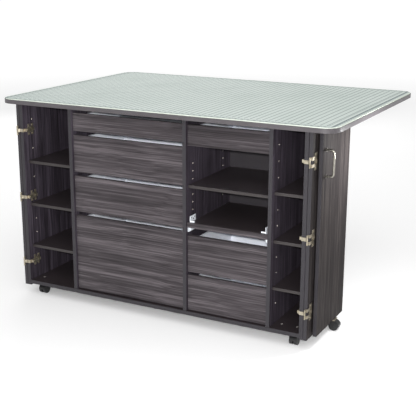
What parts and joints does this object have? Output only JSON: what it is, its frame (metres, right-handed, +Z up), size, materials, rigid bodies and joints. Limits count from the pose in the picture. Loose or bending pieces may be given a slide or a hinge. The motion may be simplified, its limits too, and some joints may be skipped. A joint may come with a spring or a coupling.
{
  "type": "sewing table",
  "caption": "Sewing and cutting table on casters: large mat-covered top with drop leaf over a storage cabinet with drawers, shelves, pull-out tray and folding doors",
  "frame": {"origin": "on the floor, below the middle of the table top", "axes": "+X to the right seen from the front, +Y from the front to the rear, +Z up"},
  "size_m": [1.524, 1.046, 0.89],
  "materials": {
    "woodgrain_board": "matt charcoal woodgrain laminate",
    "cabinet_board": "matt dark laminate",
    "table_top": "matt dark laminate with edge band",
    "cutting_mat": "pale grey-green cutting mat with printed grid",
    "white_steel": "smooth white",
    "hinge_steel": "warm nickel plate",
    "zinc_steel": "zinc plate",
    "nickel": "brushed nickel",
    "caster_plastic": "black nylon",
    "caster_tread": "dark hard plastic"
  },
  "bodies": {
    "cabinet": {"base_panel": "cabinet_board", "left_side_panel": "woodgrain_board", "right_side_panel": "woodgrain_board", "left_divider": "woodgrain_board", "middle_divider": "woodgrain_board", "right_divider": "woodgrain_board", "stretchers": "cabinet_board", "back_panel": "cabinet_board", "shelves": "cabinet_board", "shelf_pins": "hinge_steel", "fixed_runners": "white_steel", "door_hinge_plates": "hinge_steel", "caster_plates": "zinc_steel", "fixed_top": "table_top", "front_mat": "cutting_mat", "leaf_hinges_fixed": "hinge_steel", "gate_hinges": "hinge_steel"},
    "wide_drawer_1": {"wide_drawer_1_front": "woodgrain_board", "wide_drawer_1_box": "white_steel"},
    "wide_drawer_2": {"wide_drawer_2_front": "woodgrain_board", "wide_drawer_2_box": "white_steel"},
    "wide_drawer_3": {"wide_drawer_3_front": "woodgrain_board", "wide_drawer_3_box": "white_steel"},
    "wide_drawer_4": {"wide_drawer_4_front": "woodgrain_board", "wide_drawer_4_box": "white_steel"},
    "mid_drawer_1": {"mid_drawer_1_front": "woodgrain_board", "mid_drawer_1_box": "white_steel"},
    "mid_drawer_2": {"mid_drawer_2_front": "woodgrain_board", "mid_drawer_2_box": "white_steel"},
    "mid_drawer_3": {"mid_drawer_3_front": "woodgrain_board", "mid_drawer_3_box": "white_steel"},
    "pull_out_tray": {"tray": "cabinet_board", "tray_slides": "white_steel"},
    "left_door_inner": {"left_door_leaf_1": "woodgrain_board", "left_door_hardware": "hinge_steel"},
    "left_door_outer": {"left_door_leaf_2": "woodgrain_board", "left_fold_hinge_half": "hinge_steel", "left_handle": "nickel"},
    "right_door_inner": {"right_door_leaf_1": "woodgrain_board", "right_door_hardware": "hinge_steel"},
    "right_door_outer": {"right_door_leaf_2": "woodgrain_board", "right_fold_hinge_half": "hinge_steel", "right_handle": "nickel"},
    "front_left_caster": {"front_left_caster_housing": "caster_plastic"},
    "front_left_wheels": {"front_left_caster_wheels": "caster_tread"},
    "front_right_caster": {"front_right_caster_housing": "caster_plastic"},
    "front_right_wheels": {"front_right_caster_wheels": "caster_tread"},
    "rear_left_caster": {"rear_left_caster_housing": "caster_plastic"},
    "rear_left_wheels": {"rear_left_caster_wheels": "caster_tread"},
    "rear_right_caster": {"rear_right_caster_housing": "caster_plastic"},
    "rear_right_wheels": {"rear_right_caster_wheels": "caster_tread"},
    "left_door_caster": {"left_door_caster_housing": "caster_plastic"},
    "left_door_wheels": {"left_door_caster_wheels": "caster_tread"},
    "right_door_caster": {"right_door_caster_housing": "caster_plastic"},
    "right_door_wheels": {"right_door_caster_wheels": "caster_tread"},
    "rear_leaf": {"drop_leaf": "table_top", "rear_mat": "cutting_mat", "leaf_hinges_moving": "hinge_steel"},
    "left_gate": {"left_gate": "woodgrain_board"},
    "right_gate": {"right_gate": "woodgrain_board"}
  },
  "joints": [
    {"name": "wide_drawer_1_slide", "type": "slide", "parent": "cabinet", "child": "wide_drawer_1", "axis": [0, -1, 0], "range_m": [0, 0.3]},
    {"name": "wide_drawer_2_slide", "type": "slide", "parent": "cabinet", "child": "wide_drawer_2", "axis": [0, -1, 0], "range_m": [0, 0.3]},
    {"name": "wide_drawer_3_slide", "type": "slide", "parent": "cabinet", "child": "wide_drawer_3", "axis": [0, -1, 0], "range_m": [0, 0.3]},
    {"name": "wide_drawer_4_slide", "type": "slide", "parent": "cabinet", "child": "wide_drawer_4", "axis": [0, -1, 0], "range_m": [0, 0.3]},
    {"name": "mid_drawer_1_slide", "type": "slide", "parent": "cabinet", "child": "mid_drawer_1", "axis": [0, -1, 0], "range_m": [0, 0.3]},
    {"name": "mid_drawer_2_slide", "type": "slide", "parent": "cabinet", "child": "mid_drawer_2", "axis": [0, -1, 0], "range_m": [0, 0.3]},
    {"name": "mid_drawer_3_slide", "type": "slide", "parent": "cabinet", "child": "mid_drawer_3", "axis": [0, -1, 0], "range_m": [0, 0.3]},
    {"name": "tray_slide", "type": "slide", "parent": "cabinet", "child": "pull_out_tray", "axis": [0, -1, 0], "range_m": [0, 0.25]},
    {"name": "left_door_swing", "type": "hinge", "parent": "cabinet", "child": "left_door_inner", "pos_m": [-0.684, -0.504, 0.455], "axis": [0, 0, -1], "range_deg": [-270, 0]},
    {"name": "left_door_fold", "type": "hinge", "parent": "left_door_inner", "child": "left_door_outer", "pos_m": [-0.695, -0.14025, 0.455], "axis": [0, 0, 1], "range_deg": [-180, 0]},
    {"name": "right_door_swing", "type": "hinge", "parent": "cabinet", "child": "right_door_inner", "pos_m": [0.66, -0.504, 0.455], "axis": [0, 0, 1], "range_deg": [-270, 0]},
    {"name": "right_door_fold", "type": "hinge", "parent": "right_door_inner", "child": "right_door_outer", "pos_m": [0.671, -0.14025, 0.455], "axis": [0, 0, -1], "range_deg": [-180, 0]},
    {"name": "front_left_caster_swivel", "type": "hinge", "parent": "cabinet", "child": "front_left_caster", "pos_m": [-0.623, -0.431, 0.04], "axis": [0, 0, 1], "continuous": true},
    {"name": "front_left_wheel_roll", "type": "hinge", "parent": "front_left_caster", "child": "front_left_wheels", "pos_m": [-0.623, -0.445, 0.02], "axis": [1, 0, 0], "continuous": true},
    {"name": "front_right_caster_swivel", "type": "hinge", "parent": "cabinet", "child": "front_right_caster", "pos_m": [0.599, -0.431, 0.04], "axis": [0, 0, 1], "continuous": true},
    {"name": "front_right_wheel_roll", "type": "hinge", "parent": "front_right_caster", "child": "front_right_wheels", "pos_m": [0.599, -0.445, 0.02], "axis": [1, 0, 0], "continuous": true},
    {"name": "rear_left_caster_swivel", "type": "hinge", "parent": "cabinet", "child": "rear_left_caster", "pos_m": [-0.623, -0.15, 0.04], "axis": [0, 0, 1], "continuous": true},
    {"name": "rear_left_wheel_roll", "type": "hinge", "parent": "rear_left_caster", "child": "rear_left_wheels", "pos_m": [-0.623, -0.164, 0.02], "axis": [1, 0, 0], "continuous": true},
    {"name": "rear_right_caster_swivel", "type": "hinge", "parent": "cabinet", "child": "rear_right_caster", "pos_m": [0.599, -0.15, 0.04], "axis": [0, 0, 1], "continuous": true},
    {"name": "rear_right_wheel_roll", "type": "hinge", "parent": "rear_right_caster", "child": "rear_right_wheels", "pos_m": [0.599, -0.164, 0.02], "axis": [1, 0, 0], "continuous": true},
    {"name": "left_door_caster_swivel", "type": "hinge", "parent": "left_door_inner", "child": "left_door_caster", "pos_m": [-0.699, -0.233, 0.04], "axis": [0, 0, 1], "continuous": true},
    {"name": "left_door_wheel_roll", "type": "hinge", "parent": "left_door_caster", "child": "left_door_wheels", "pos_m": [-0.713, -0.233, 0.02], "axis": [0, 1, 0], "continuous": true},
    {"name": "right_door_caster_swivel", "type": "hinge", "parent": "right_door_inner", "child": "right_door_caster", "pos_m": [0.675, -0.233, 0.04], "axis": [0, 0, 1], "continuous": true},
    {"name": "right_door_wheel_roll", "type": "hinge", "parent": "right_door_caster", "child": "right_door_wheels", "pos_m": [0.689, -0.233, 0.02], "axis": [0, 1, 0], "continuous": true},
    {"name": "rear_leaf_drop", "type": "hinge", "parent": "cabinet", "child": "rear_leaf", "pos_m": [0, -0.064, 0.865], "axis": [1, 0, 0], "range_deg": [-90, 0]},
    {"name": "left_gate_swing", "type": "hinge", "parent": "cabinet", "child": "left_gate", "pos_m": [-0.258, -0.086, 0.563], "axis": [0, 0, -1], "range_deg": [0, 90]},
    {"name": "right_gate_swing", "type": "hinge", "parent": "cabinet", "child": "right_gate", "pos_m": [0.234, -0.086, 0.563], "axis": [0, 0, 1], "range_deg": [0, 90]}
  ],
  "couplings": [
    {"joint": "left_door_fold", "follows": "left_door_swing", "ratio": 0.66667},
    {"joint": "right_door_fold", "follows": "right_door_swing", "ratio": 0.66667}
  ]
}
